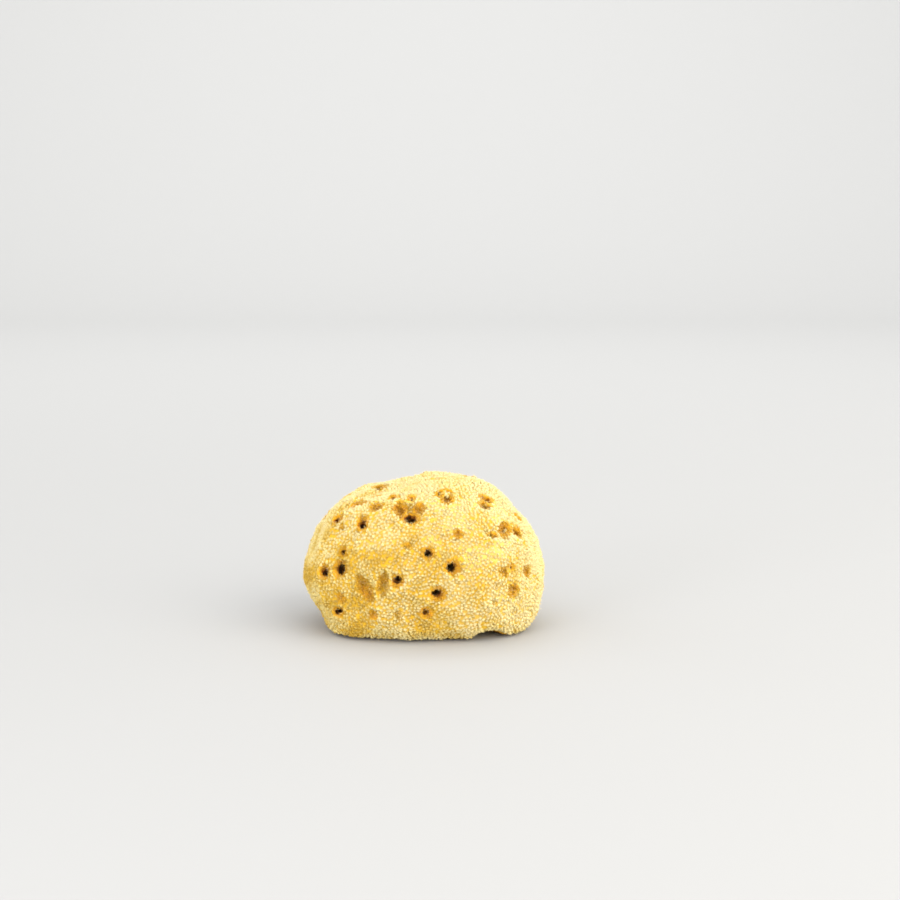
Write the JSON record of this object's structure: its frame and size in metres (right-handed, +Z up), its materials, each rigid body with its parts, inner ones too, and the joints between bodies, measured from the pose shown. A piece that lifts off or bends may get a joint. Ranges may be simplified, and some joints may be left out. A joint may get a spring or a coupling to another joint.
{
  "type": "sea sponge",
  "caption": "Domed natural bath sponge with a fine tufted skin, round open canals, a large crater near the top and a flat cut base.",
  "frame": {"origin": "on the surface the sponge rests on, at the middle of its bounding box", "axes": "+X is the longest extent, from left to right across the front. +Y runs from the front to the back. +Z is up, away from the cut base"},
  "size_m": [0.1298, 0.1058, 0.0801],
  "materials": {
    "spongin": "matt, soft and fibrous, pale cream at the tips and golden between them"
  },
  "bodies": {
    "root": {"sponge": "spongin"}
  },
  "joints": []
}
